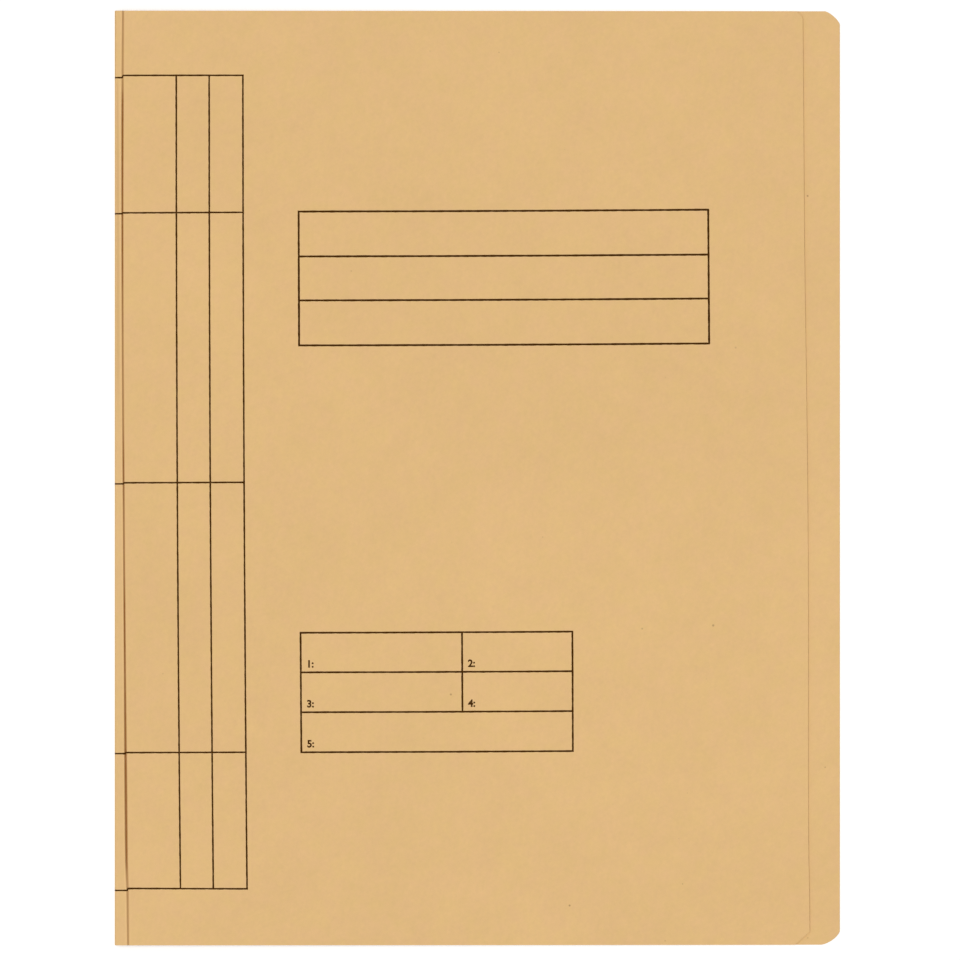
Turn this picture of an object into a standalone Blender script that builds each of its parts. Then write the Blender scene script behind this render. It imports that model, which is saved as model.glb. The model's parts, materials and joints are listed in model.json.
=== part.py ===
"""Manila card file for A4 sheets, built as its separate parts.

The cover is one creased card: back cover, spine, a narrow hinge panel and the front cover. Inside it a card strip
holds a two-prong steel fastener: a base strip with two stubs, two tongues that fold down over a slotted bar, and a
slider that locks each tongue. The file lies closed on its back cover, with the spine at -X.

Units are metres and +Z is up. The origin lies under the middle of the closed file. Each moving piece has its origin
on the line that it turns about, and pieces that swing together are parented in the order in which they are joined.
"""

import math

import bmesh
import bpy
from mathutils import Matrix, Vector

# Cover
FILE_WIDTH = 0.24684
FILE_HEIGHT = 0.318
FRONT_COVER_WIDTH = 0.2322
CARD_THICKNESS = 0.00035
SCORE_FROM_SPINE_TOP = 0.00217
SCORE_FROM_SPINE_BOTTOM = 0.00437
BACK_CORNER_RADIUS = 0.0056
FRONT_CORNER_RADIUS_TOP = 0.0025
FRONT_CORNER_RADIUS_BOTTOM = 0.0056

# Prongs
PRONG_SPACING = 0.080
PRONGS_FROM_SPINE = 0.017
PRONG_WIDTH = 0.005
PRONG_THICKNESS = 0.00025
PRONG_BEND_RADIUS = 0.0006

# Card strip that carries the fastener, and the eyelets in its holes
BINDING_STRIP_WIDTH = 0.022
BINDING_STRIP_THICKNESS = 0.00035
BINDING_STRIP_PAST_PRONGS = 0.030
BINDING_STRIP_CORNER_RADIUS = 0.003
EYELET_WALL = 0.0003
EYELET_FLANGE_WIDTH = 0.0012
EYELET_FLANGE_THICKNESS = 0.0002

# Slotted bar and sliders
BAR_THICKNESS = 0.00035
BAR_EDGE_BESIDE_SLOT = 0.0015
BAR_PAST_PRONGS = 0.010
SLIDER_LENGTH = 0.007
SLIDER_WALL = 0.0002
SLIDER_LIP = 0.0012
SLIDER_CORNER_RADIUS = 0.0004
SPACE_BETWEEN_PARKED_SLIDERS = 0.002

# Clearances
CREASE_GAP = 0.0003
STACK_GAP = 0.00025
COVER_CLEARANCE = 0.00025
EYELET_CLEARANCE = 0.0005
SLOT_CLEARANCE = 0.0005
SLOT_BEND_CLEARANCE = 0.001
TONGUE_HINGE_GAP = 0.0003
TIP_CLEARANCE = 0.001

# Straight pieces in a quarter turn, and in a full turn
ARC_STEPS = 8
TURN_STEPS = 40

# Plan of the closed file
SPINE_X = -FILE_WIDTH / 2
FREE_EDGE_X = FILE_WIDTH / 2
TOP_Y = FILE_HEIGHT / 2
BOTTOM_Y = -FILE_HEIGHT / 2
CREASE_X = SPINE_X + CARD_THICKNESS / 2
SCORE_MIDDLE_X = SPINE_X + (SCORE_FROM_SPINE_TOP + SCORE_FROM_SPINE_BOTTOM) / 2
SCORE_SKEW = math.atan2(SCORE_FROM_SPINE_BOTTOM - SCORE_FROM_SPINE_TOP, FILE_HEIGHT)
PRONG_X = SPINE_X + PRONGS_FROM_SPINE
PRONG_Y = PRONG_SPACING / 2

# Sizes that follow from what each piece holds
BAR_WIDTH = PRONG_WIDTH + 2 * (SLOT_CLEARANCE + BAR_EDGE_BESIDE_SLOT)
BAR_LENGTH = PRONG_SPACING + 2 * BAR_PAST_PRONGS
EYELET_BORE_RADIUS = PRONG_WIDTH / 2 + EYELET_CLEARANCE
EYELET_BARREL_RADIUS = EYELET_BORE_RADIUS + EYELET_WALL
EYELET_FLANGE_RADIUS = EYELET_BARREL_RADIUS + EYELET_FLANGE_WIDTH
STRIP_HOLE_RADIUS = EYELET_BARREL_RADIUS + STACK_GAP
SLIDER_HALF_WIDTH = BAR_WIDTH / 2 + STACK_GAP + SLIDER_WALL
SLIDER_PARKED_Y = (SPACE_BETWEEN_PARKED_SLIDERS + SLIDER_LENGTH) / 2
TONGUE_TIP_Y = SLIDER_PARKED_Y + SLIDER_LENGTH / 2 + TIP_CLEARANCE

# Heights in the stack, from the back cover up
BASE_LOW = CARD_THICKNESS + STACK_GAP
BASE_HIGH = BASE_LOW + PRONG_THICKNESS
STRIP_LOW = BASE_HIGH + STACK_GAP
STRIP_HIGH = STRIP_LOW + BINDING_STRIP_THICKNESS
UNDER_BAR = max(EYELET_FLANGE_THICKNESS, SLIDER_WALL)
BAR_LOW = STRIP_HIGH + STACK_GAP + UNDER_BAR + STACK_GAP
BAR_HIGH = BAR_LOW + BAR_THICKNESS
TONGUE_LOW = BAR_HIGH + STACK_GAP
TONGUE_HIGH = TONGUE_LOW + PRONG_THICKNESS
TONGUE_MIDDLE = (TONGUE_LOW + TONGUE_HIGH) / 2
SLIDER_LOW = BAR_LOW - STACK_GAP - SLIDER_WALL
SLIDER_HIGH = TONGUE_HIGH + STACK_GAP + SLIDER_WALL

# The front cover slopes from the score to its free edge, which lies on the back cover, and clears the sliders
COVER_REST_Z = CARD_THICKNESS + STACK_GAP + CARD_THICKNESS / 2
SLIDER_SHARE = (PRONGS_FROM_SPINE + SLIDER_HALF_WIDTH - SCORE_FROM_SPINE_TOP) / FRONT_COVER_WIDTH
COVER_OVER_SLIDER_Z = SLIDER_HIGH + COVER_CLEARANCE + CARD_THICKNESS / 2
SCORE_Z = (COVER_OVER_SLIDER_Z - SLIDER_SHARE * COVER_REST_Z) / (1 - SLIDER_SHARE)
COVER_TILT = math.asin((SCORE_Z - COVER_REST_Z) / FRONT_COVER_WIDTH)

# Turns that lay a curve's own X and Y along the axes named
ALONG_Y_AND_Z = (math.pi / 2, 0, math.pi / 2)
ALONG_X_AND_Z = (math.pi / 2, 0, 0)

# Colours (linear RGB)
CARD_COLOUR = (0.744, 0.491, 0.223)
STRIP_COLOUR = (0.700, 0.455, 0.205)
STEEL_COLOUR = (0.560, 0.560, 0.570)
EYELET_COLOUR = (0.620, 0.600, 0.560)


def clear_scene():
    for item in list(bpy.data.objects):
        bpy.data.objects.remove(item, do_unlink=True)


def parts_collection():
    collection = bpy.data.collections.new("manila_card_file")
    bpy.context.scene.collection.children.link(collection)
    return collection


def finish(name, colour, roughness, metallic):
    """A plain Principled material."""
    material = bpy.data.materials.new(name)
    material.use_nodes = True
    shader = material.node_tree.nodes["Principled BSDF"]
    shader.inputs["Base Color"].default_value = (*colour, 1)
    shader.inputs["Roughness"].default_value = roughness
    shader.inputs["Metallic"].default_value = metallic
    return material


def fillet(before, corner, after, radius):
    """Points of the arc that rounds a corner, or the corner itself where the radius is nothing."""
    if radius <= 0:
        return [corner]
    back = (before - corner).normalized()
    ahead = (after - corner).normalized()
    half_angle = back.angle(ahead) / 2
    centre = corner + (back + ahead).normalized() * (radius / math.sin(half_angle))
    start = corner + back * (radius / math.tan(half_angle)) - centre
    sweep = (math.pi - 2 * half_angle) * (1 if back.cross(ahead) < 0 else -1)
    turns = (Matrix.Rotation(sweep * step / ARC_STEPS, 2) for step in range(ARC_STEPS + 1))
    return [centre + turn @ start for turn in turns]


def rounded_outline(corners):
    """A closed outline from corners given as x, y and the radius of the corner."""
    points = [Vector((x, y)) for x, y, _ in corners]
    outline = []
    for index, (_, _, radius) in enumerate(corners):
        before = points[index - 1]
        after = points[(index + 1) % len(points)]
        outline += fillet(before, points[index], after, radius)
    return outline


def rectangle(half_width, half_height, radius, centre_y=0):
    signs = ((-1, -1), (1, -1), (1, 1), (-1, 1))
    return rounded_outline([(x * half_width, centre_y + y * half_height, radius) for x, y in signs])


def circle(radius, centre_y):
    angles = (2 * math.pi * step / TURN_STEPS for step in range(TURN_STEPS))
    return [Vector((radius * math.cos(angle), centre_y + radius * math.sin(angle))) for angle in angles]


def flat_piece(name, outlines, thickness, location, material, collection, rotation=(0, 0, 0)):
    """A flat sheet of even thickness. The first outline is its edge and the others are its holes."""
    data = bpy.data.curves.new(name, "CURVE")
    data.dimensions = "2D"
    data.fill_mode = "BOTH"
    data.extrude = thickness / 2
    for outline in outlines:
        spline = data.splines.new("POLY")
        spline.points.add(len(outline) - 1)
        for point, (x, y) in zip(spline.points, outline):
            point.co = (x, y, 0, 1)
        spline.use_cyclic_u = True
    data.materials.append(material)
    piece = bpy.data.objects.new(name, data)
    piece.location = location
    piece.rotation_euler = rotation
    collection.objects.link(piece)
    return piece


def box_piece(name, low, high, origin, material, collection):
    """A box between two corners given in the world, with its origin at a point of its own."""
    size = Vector(high) - Vector(low)
    middle = (Vector(high) + Vector(low)) / 2 - Vector(origin)
    shape = bmesh.new()
    bmesh.ops.create_cube(shape, size=1, matrix=Matrix.Translation(middle) @ Matrix.Diagonal((*size, 1)))
    mesh = bpy.data.meshes.new(name)
    shape.to_mesh(mesh)
    shape.free()
    mesh.materials.append(material)
    piece = bpy.data.objects.new(name, mesh)
    piece.location = origin
    collection.objects.link(piece)
    return piece


def hang_on(piece, parent):
    """Parents a piece and leaves it in its place."""
    bpy.context.view_layer.update()
    piece.parent = parent
    piece.matrix_parent_inverse = parent.matrix_world.inverted()


def back_cover(material, collection):
    """The card that the file lies on: square at the spine, rounded at its free edge."""
    corners = [
        (SPINE_X, BOTTOM_Y, 0),
        (FREE_EDGE_X, BOTTOM_Y, BACK_CORNER_RADIUS),
        (FREE_EDGE_X, TOP_Y, BACK_CORNER_RADIUS),
        (SPINE_X, TOP_Y, 0),
    ]
    place = (0, 0, CARD_THICKNESS / 2)
    return flat_piece("back_cover", [rounded_outline(corners)], CARD_THICKNESS, place, material, collection)


def spine_panel(material, collection):
    """The upright wall at the spine, which turns about the back crease."""
    low = (SPINE_X, BOTTOM_Y, CARD_THICKNESS + CREASE_GAP)
    high = (SPINE_X + CARD_THICKNESS, TOP_Y, SCORE_Z + CARD_THICKNESS / 2)
    back_crease = (CREASE_X, 0, CARD_THICKNESS / 2)
    return box_piece("spine_panel", low, high, back_crease, material, collection)


def hinge_panel(material, collection):
    """The strip between the spine's edge crease and the score, which isn't quite parallel to the spine."""
    left = CARD_THICKNESS / 2 + CREASE_GAP
    score_side = -CARD_THICKNESS / 2 - CREASE_GAP / 2 / math.cos(SCORE_SKEW)
    corners = [
        (left, BOTTOM_Y, 0),
        (SCORE_FROM_SPINE_BOTTOM + score_side, BOTTOM_Y, 0),
        (SCORE_FROM_SPINE_TOP + score_side, TOP_Y, 0),
        (left, TOP_Y, 0),
    ]
    edge_crease = (CREASE_X, 0, SCORE_Z)
    outline = rounded_outline(corners)
    return flat_piece("hinge_panel", [outline], CARD_THICKNESS, edge_crease, material, collection)


def front_cover(material, collection):
    """The front cover, drawn square to the score, with its ends cut level with the back cover's."""

    def level_point(across, world_y, radius):
        along = (world_y - across * math.sin(SCORE_SKEW)) / math.cos(SCORE_SKEW)
        return across, along, radius

    near = CREASE_GAP / 2
    far = FRONT_COVER_WIDTH
    corners = [
        level_point(near, BOTTOM_Y, 0),
        level_point(far, BOTTOM_Y, FRONT_CORNER_RADIUS_BOTTOM),
        level_point(far, TOP_Y, FRONT_CORNER_RADIUS_TOP),
        level_point(near, TOP_Y, 0),
    ]
    score = (SCORE_MIDDLE_X, 0, SCORE_Z)
    turn = (0, COVER_TILT, SCORE_SKEW)
    outline = rounded_outline(corners)
    return flat_piece("front_cover", [outline], CARD_THICKNESS, score, material, collection, turn)


def binding_strip(material, collection):
    """The card strip glued inside the back cover, with a hole for each eyelet."""
    half_length = PRONG_Y + BINDING_STRIP_PAST_PRONGS
    edge = rectangle(BINDING_STRIP_WIDTH / 2, half_length, BINDING_STRIP_CORNER_RADIUS)
    holes = [circle(STRIP_HOLE_RADIUS, side * PRONG_Y) for side in (-1, 1)]
    place = (PRONG_X, 0, (STRIP_LOW + STRIP_HIGH) / 2)
    outlines = [edge, *holes]
    return flat_piece("binding_strip", outlines, BINDING_STRIP_THICKNESS, place, material, collection)


def prong_base(material, collection):
    """The steel strip under the card strip, bent up at both ends into stubs that stand in the eyelets."""
    outer = PRONG_Y + PRONG_THICKNESS / 2
    inner = PRONG_Y - PRONG_THICKNESS / 2
    stub_top = TONGUE_MIDDLE - TONGUE_HINGE_GAP
    inner_radius = PRONG_BEND_RADIUS - PRONG_THICKNESS
    corners = [
        (-outer, BASE_LOW, PRONG_BEND_RADIUS),
        (outer, BASE_LOW, PRONG_BEND_RADIUS),
        (outer, stub_top, 0),
        (inner, stub_top, 0),
        (inner, BASE_HIGH, inner_radius),
        (-inner, BASE_HIGH, inner_radius),
        (-inner, stub_top, 0),
        (-outer, stub_top, 0),
    ]
    outline = rounded_outline(corners)
    place = (PRONG_X, 0, 0)
    return flat_piece("prong_base", [outline], PRONG_WIDTH, place, material, collection, ALONG_Y_AND_Z)


def prong_tongue(name, side, material, collection):
    """One tongue, folded down flat over the bar with its round tip towards the middle of the file."""
    half_width = PRONG_WIDTH / 2
    root = -side * TONGUE_HINGE_GAP
    tip = side * (TONGUE_TIP_Y - PRONG_Y)
    corners = [
        (-half_width, root, 0),
        (half_width, root, 0),
        (half_width, tip, half_width * 0.99),
        (-half_width, tip, half_width * 0.99),
    ]
    outline = rounded_outline(corners)
    fold = (PRONG_X, side * PRONG_Y, TONGUE_MIDDLE)
    return flat_piece(name, [outline], PRONG_THICKNESS, fold, material, collection)


def eyelet(name, side, material, collection):
    """A turned eyelet: a flange on the card strip and a barrel down through its hole."""
    flange_low = STRIP_HIGH + STACK_GAP
    flange_high = flange_low + EYELET_FLANGE_THICKNESS
    barrel_low = BASE_HIGH + STACK_GAP
    profile = [
        (EYELET_BORE_RADIUS, flange_high),
        (EYELET_FLANGE_RADIUS, flange_high),
        (EYELET_FLANGE_RADIUS, flange_low),
        (EYELET_BARREL_RADIUS, flange_low),
        (EYELET_BARREL_RADIUS, barrel_low),
        (EYELET_BORE_RADIUS, barrel_low),
    ]
    points = [(x, 0, z) for x, z in profile]
    edges = [(index, (index + 1) % len(points)) for index in range(len(points))]
    mesh = bpy.data.meshes.new(name)
    mesh.from_pydata(points, edges, [])
    mesh.materials.append(material)
    piece = bpy.data.objects.new(name, mesh)
    piece.location = (PRONG_X, side * PRONG_Y, 0)
    collection.objects.link(piece)
    screw = piece.modifiers.new("Turn", "SCREW")
    screw.steps = TURN_STEPS
    screw.render_steps = TURN_STEPS
    screw.use_merge_vertices = True
    screw.merge_threshold = 0.00001
    screw.use_smooth_shade = False
    return piece


def compressor_bar(material, collection):
    """The slotted bar that presses the sheets down, laid over the prongs."""
    edge = rectangle(BAR_WIDTH / 2, BAR_LENGTH / 2, BAR_WIDTH / 2 * 0.99)
    slot_half_width = PRONG_WIDTH / 2 + SLOT_CLEARANCE
    slot_half_length = PRONG_THICKNESS / 2 + SLOT_BEND_CLEARANCE
    slots = [
        rectangle(slot_half_width, slot_half_length, slot_half_length / 2, side * PRONG_Y) for side in (-1, 1)
    ]
    place = (PRONG_X, 0, (BAR_LOW + BAR_HIGH) / 2)
    return flat_piece("compressor_bar", [edge, *slots], BAR_THICKNESS, place, material, collection)


def slider(name, side, material, collection):
    """A channel that wraps the bar and is pushed out over a folded tongue."""
    outer = SLIDER_HALF_WIDTH
    inner = outer - SLIDER_WALL
    lip = inner - SLIDER_LIP
    inner_radius = SLIDER_CORNER_RADIUS - SLIDER_WALL
    corners = [
        (-lip, SLIDER_LOW, 0),
        (-lip, SLIDER_LOW + SLIDER_WALL, 0),
        (-inner, SLIDER_LOW + SLIDER_WALL, inner_radius),
        (-inner, SLIDER_HIGH - SLIDER_WALL, inner_radius),
        (inner, SLIDER_HIGH - SLIDER_WALL, inner_radius),
        (inner, SLIDER_LOW + SLIDER_WALL, inner_radius),
        (lip, SLIDER_LOW + SLIDER_WALL, 0),
        (lip, SLIDER_LOW, 0),
        (outer, SLIDER_LOW, SLIDER_CORNER_RADIUS),
        (outer, SLIDER_HIGH, SLIDER_CORNER_RADIUS),
        (-outer, SLIDER_HIGH, SLIDER_CORNER_RADIUS),
        (-outer, SLIDER_LOW, SLIDER_CORNER_RADIUS),
    ]
    outline = rounded_outline(corners)
    place = (PRONG_X, side * SLIDER_PARKED_Y, 0)
    return flat_piece(name, [outline], SLIDER_LENGTH, place, material, collection, ALONG_X_AND_Z)


def build():
    clear_scene()
    collection = parts_collection()
    card = {
        name: finish(f"{name}_card", CARD_COLOUR, 0.85, 0)
        for name in ("back_cover", "spine_panel", "hinge_panel", "front_cover")
    }
    back = back_cover(card["back_cover"], collection)
    spine = spine_panel(card["spine_panel"], collection)
    hinge = hinge_panel(card["hinge_panel"], collection)
    front = front_cover(card["front_cover"], collection)
    hang_on(spine, back)
    hang_on(hinge, spine)
    hang_on(front, hinge)

    strip = binding_strip(finish("binding_strip_card", STRIP_COLOUR, 0.85, 0), collection)
    base = prong_base(finish("prong_base_steel", STEEL_COLOUR, 0.35, 1), collection)
    bar = compressor_bar(finish("compressor_bar_steel", STEEL_COLOUR, 0.35, 1), collection)
    hang_on(strip, back)
    hang_on(base, back)
    hang_on(bar, back)
    for end, side in (("bottom", -1), ("top", 1)):
        ring = eyelet(f"eyelet_{end}", side, finish(f"eyelet_{end}_plate", EYELET_COLOUR, 0.3, 1), collection)
        tongue_steel = finish(f"prong_{end}_steel", STEEL_COLOUR, 0.35, 1)
        tongue = prong_tongue(f"prong_{end}", side, tongue_steel, collection)
        slider_steel = finish(f"slider_{end}_steel", STEEL_COLOUR, 0.3, 1)
        lock = slider(f"slider_{end}", side, slider_steel, collection)
        hang_on(ring, strip)
        hang_on(tongue, base)
        hang_on(lock, bar)


build()
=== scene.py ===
"""The looks of a manila card file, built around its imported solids.

The cover is one creased sheet of card with dark printed rules, made as three pieces that bend at the folds.
Inside lies a two-prong fastener: card strip, steel band with two tongues, eyelets, pressing bar and sliders.
The file is laid out as an add-on and is run as a script. Lengths are metres, and +Z is up.
"""

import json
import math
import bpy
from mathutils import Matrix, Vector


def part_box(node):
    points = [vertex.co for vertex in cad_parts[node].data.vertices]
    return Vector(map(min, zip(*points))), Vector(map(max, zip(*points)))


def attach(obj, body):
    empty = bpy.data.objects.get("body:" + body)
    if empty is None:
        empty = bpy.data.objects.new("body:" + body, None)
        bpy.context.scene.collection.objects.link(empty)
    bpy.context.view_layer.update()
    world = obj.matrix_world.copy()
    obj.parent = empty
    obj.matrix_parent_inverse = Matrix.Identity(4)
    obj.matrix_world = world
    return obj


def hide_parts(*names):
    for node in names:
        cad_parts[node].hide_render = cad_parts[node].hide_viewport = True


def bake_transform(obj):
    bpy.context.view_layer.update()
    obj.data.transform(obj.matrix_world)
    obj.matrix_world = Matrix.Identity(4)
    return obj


bl_info = {
    "name": "Manila Card File",
    "version": (1, 0, 0),
    "blender": (4, 5, 0),
    "location": "3D View > Sidebar > Card File",
    "description": "Builds a creased card file with printed rules and a two-prong fastener",
    "category": "Add Mesh",
}

import bpy
import numpy as np
from mathutils import Vector

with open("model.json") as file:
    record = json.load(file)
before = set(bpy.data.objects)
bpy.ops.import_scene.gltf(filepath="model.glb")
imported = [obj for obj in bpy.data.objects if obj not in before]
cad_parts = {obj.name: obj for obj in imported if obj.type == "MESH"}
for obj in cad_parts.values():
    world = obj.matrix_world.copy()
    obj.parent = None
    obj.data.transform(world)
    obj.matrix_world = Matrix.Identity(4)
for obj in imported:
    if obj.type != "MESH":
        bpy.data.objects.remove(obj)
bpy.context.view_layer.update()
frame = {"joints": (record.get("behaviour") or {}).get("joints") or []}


class SolidBox:
    """The box round a solid: its lowest and highest corner, its middle, half its sizes and its thickness."""

    def __init__(self, node):
        low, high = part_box(node)
        self.low = np.array(low)
        self.high = np.array(high)
        self.middle = (self.low + self.high) / 2
        self.half = (self.high - self.low) / 2
        self.thickness = self.high[2] - self.low[2]


def joint_line(name):
    """Place and direction of a joint's axis."""
    joint = next(joint for joint in frame["joints"] if joint["name"] == name)
    return np.array(joint["pos_m"]), np.array(joint["axis"])


MM = 0.001
UP = (0, 0, 1)
DOWN = (0, 0, -1)

# Places that the solids give
BACK = SolidBox("back_cover")
STRIP = SolidBox("binding_strip")
BAND = SolidBox("prong_base")
TONGUE = SolidBox("prong_top")
BAR = SolidBox("compressor_bar")
SLIDER = SolidBox("slider_top")
EYELET = SolidBox("eyelet_top")
SCORE_PLACE, SCORE_AXIS = joint_line("cover_fold")
(PRONG_X, PRONG_Y, _), _ = joint_line("prong_top_fold")
SCORE_SKEW = math.atan2(SCORE_AXIS[0], -SCORE_AXIS[1])
CARD = BACK.thickness
HALF_HEIGHT = BACK.high[1]
FREE_EDGE_X = BACK.high[0]
CREASE_X = BACK.low[0] + CARD / 2

# The sheet runs this far inside the solids, which leaves room for the ink on both faces
INK_ROOM = 0.02 * MM
BACK_Z = BACK.low[2] + CARD / 2 + INK_ROOM
TOP_Z = SCORE_PLACE[2] - INK_ROOM
WALL_SEAM_Z = (BACK_Z + TOP_Z) / 2
COVER_SEAM = 1.1 * MM
FRONT_EDGE_Z = SolidBox("front_cover").low[2] + CARD / 2 - INK_ROOM

# Rounded corners: how far each reaches across and along, and its power (2 is an ellipse, 1 a straight cut)
BACK_FOOT_CORNER = (6.4 * MM, 4.7 * MM, 1.5)
BACK_HEAD_CORNER = (5.0 * MM, 4.5 * MM, 1.35)
FRONT_FOOT_CORNER = (5.0 * MM, 4.4 * MM, 1.0)
FRONT_HEAD_CORNER = (2.2 * MM, 2.6 * MM, 1.3)
CORNER_STEPS = 12

# The score lies nearer the spine between its ends, a streak of painted shade runs on the strip beside it, and
# the free edge bulges most a little below its middle
SCORE_OFFSET = -0.25 * MM
SCORE_HEAD_SWING = 0.95 * MM
SCORE_FOOT_SWING = 0.20 * MM
SCORE_FOOT_JOG = 0.28 * MM
JOG_Y = -135 * MM
STREAK_X = -122.3 * MM
STREAK_REACH = 0.9 * MM
STREAK_FOOT_Y = 30 * MM
FREE_EDGE_LOW = -0.18 * MM
FREE_EDGE_BULGE = 0.52 * MM
BULGE_Y = -15 * MM
BULGE_REACH = 105 * MM

# Painted shade in the score's groove, partly pressed card: how dark it is beyond the table and beside it, and
# what each darker stretch adds: share, middle, reach
PALE_TONE = 0.57
BESIDE_TABLE_TONE = 0.15
BESIDE_TABLE_MIDDLE = -1.3 * MM
BESIDE_TABLE_REACH = 132.3 * MM
SCORE_SHADE_STRETCHES = (
    (0.58, 116 * MM, 73 * MM),
    (0.23, 3 * MM, 19 * MM),
    (0.34, -52 * MM, 16 * MM),
    (0.25, -102 * MM, 116 * MM),
)
SCORE_WIDENING = ((0.12, 126 * MM, 41 * MM), (0.32, -111 * MM, 56 * MM))

# Beside the groove, in half its width: the grid's lines, and the paler rims, painted highlights partly of
# rubbed card, as share, place and reach
RIM_LINES = np.array([1.15, 1.35, 1.6, 1.9, 2.3, 3.0, 4.5, 8.0, 14.0])
RUBBED_AND_HIGHLIGHT_RIMS = ((0.7, -1.35, 0.4), (0.2, 1.5, 0.5))
GROOVE_TONE_POWER = 0.35

# Painted shade along the creases, partly pressed card, how far they are rubbed paler, and how dark the
# strip's creases are. The upper crease has more painted shade beyond the table, and a streak of painted shade
# lies beside it
BACK_CREASE_SHADE = 0.10
BACK_RUBBED = 0.25
EDGE_CREASE_SHADE = 0.16
EDGE_RUBBED = 0.15
EDGE_HEAD_SHADE = 0.12
STREAK_SHADE = 0.17
STRIP_CREASE_DARKNESS = 0.3

# The printed layout, on axes that turn with the print
TABLE_COLUMNS = (-101.82 * MM, -90.64 * MM, -79.17 * MM)
TABLE_ROWS = (137.6 * MM, 90.9 * MM, -1.0 * MM, -93.0 * MM, -139.4 * MM)
TITLE_BOX_SIDES = (-60.31 * MM, 78.89 * MM)
TITLE_BOX_ROWS = (90.97 * MM, 75.69 * MM, 60.72 * MM, 45.41 * MM)
DATE_BOX_SIDES = (-60.32 * MM, -5.52 * MM, 31.95 * MM)
DATE_BOX_ROWS = (-52.37 * MM, -65.85 * MM, -79.42 * MM, -93.03 * MM)

# The whole layout swells sideways by this share at its middle height, and its rows sag in the boxes
PRINT_SWELL = 0.0032
PRINT_SWELL_REACH = 129 * MM
PRINT_SAG = 0.1 * MM
PRINT_SAG_MIDDLE = 9 * MM
PRINT_SAG_REACH = 65 * MM

# Heights of the table's rows where they leave the groove and at their right ends, and on the spine
ROW_STARTS = (136.96 * MM, 90.20 * MM, -1.63 * MM, -93.42 * MM, -139.64 * MM)
ROW_ENDS = (137.01 * MM, 90.39 * MM, -1.48 * MM, -93.32 * MM, -139.78 * MM)
STRIP_ROWS = (136.2 * MM, 89.9 * MM, -2.0 * MM, -93.75 * MM, -140.3 * MM)
BACK_TABLE_REACH = 21 * MM
RULE_STEP = 0.6 * MM
GROOVE_STEP = 0.08 * MM

# Widths of the rules against the usual one, how far they drift, and how far they thicken and thin
TABLE_WEIGHT = 0.92
TITLE_WEIGHT = 1.10
DATE_WEIGHT = 1.01
SPINE_WEIGHT = 0.82
RULE_DRIFT = 0.022 * MM
RULE_UNEVENNESS = 0.14

# Level rules and numerals stand this many ink heights above the card, and upright rules one
LEVEL_RISE = 1.2
NUMERAL_RISE = 1.4

# Numerals: place of each from its cell's corner, what outlines gain, and a figure's share of the font size
NUMERAL_INSET = (1.95 * MM, 1.72 * MM)
NUMERAL_WEIGHT = 0.12 * MM
FIGURE_SHARE = 0.7

# The card strip: radius of its corners and holes, the crease along each side, and where its middle grid ends
STRIP_CORNER = 3 * MM
STRIP_HOLE = 3.55 * MM
STRIP_CREASE_X = 7.6 * MM
STRIP_CREASE_REACH = 0.7 * MM
STRIP_CREASE_DEPTH = 0.08 * MM
STRIP_SEAM_Y = 34 * MM

# The metal pieces. A slot has half a width, half a length and the radius of its corners, and a tongue's
# end keeps a small share of its width
TONGUE_BEND = 0.475 * MM
TIP_SHARE = 0.03
SHEET_EDGE = 0.05 * MM
WALL = 0.2 * MM
EYELET_BARREL = 3.15 * MM
EYELET_ROLL = 0.25 * MM
BAR_SLOT = (3.0 * MM, 1.125 * MM, 0.56 * MM)
BAR_EDGE = 0.08 * MM
BAR_BEAD_END = 33 * MM
BAR_BEAD_REACH = 1.5 * MM
BAR_DISH = 0.06 * MM
BAR_SOFTNESS = 0.8 * MM
BAR_SEAM_Y = 36 * MM
SLIDER_LIP_X = 3.55 * MM
SLIDER_BEND = 0.35 * MM
SLIDER_EDGE = 0.04 * MM
GRIP_PLACES = (-1.6 * MM, 0.0, 1.6 * MM)
GRIP_REACH = 0.55 * MM
GRIP_HALF_LENGTH = 3.6 * MM

# Relief of the finishes
CARD_RELIEF = 0.03 * MM
INK_RELIEF = 0.01 * MM
METAL_RELIEF = 0.006 * MM

# The stage. The camera looks straight down, and the picture covers this much of the table
PICTURE_WIDTH = 326.85 * MM
PICTURE_CENTRE = (0.85 * MM, -0.68 * MM)
PICTURE_PLANE_Z = 2.0 * MM
LENS = 300.0
SENSOR = 36.0
LAMP_ENERGY = 1.78
LAMP_ANGLE = math.radians(28)
LAMP_DIRECTION = (0.22, -0.03, -0.97)
DOME_LIGHT = 0.42
FLOOR_GLOW = 0.22
FLOOR_HALF_SIDE = 4.0
FLOOR_Z = -0.05 * MM


def length(name, description, default):
    """A length that a user can change."""
    return bpy.props.FloatProperty(
        name=name, description=description, default=default, min=0.0, unit="LENGTH", precision=5
    )


def colour(name, description, default):
    """A colour that a user can change, in linear light."""
    return bpy.props.FloatVectorProperty(
        name=name, description=description, default=default, min=0, max=1, size=3, subtype="COLOR"
    )


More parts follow.
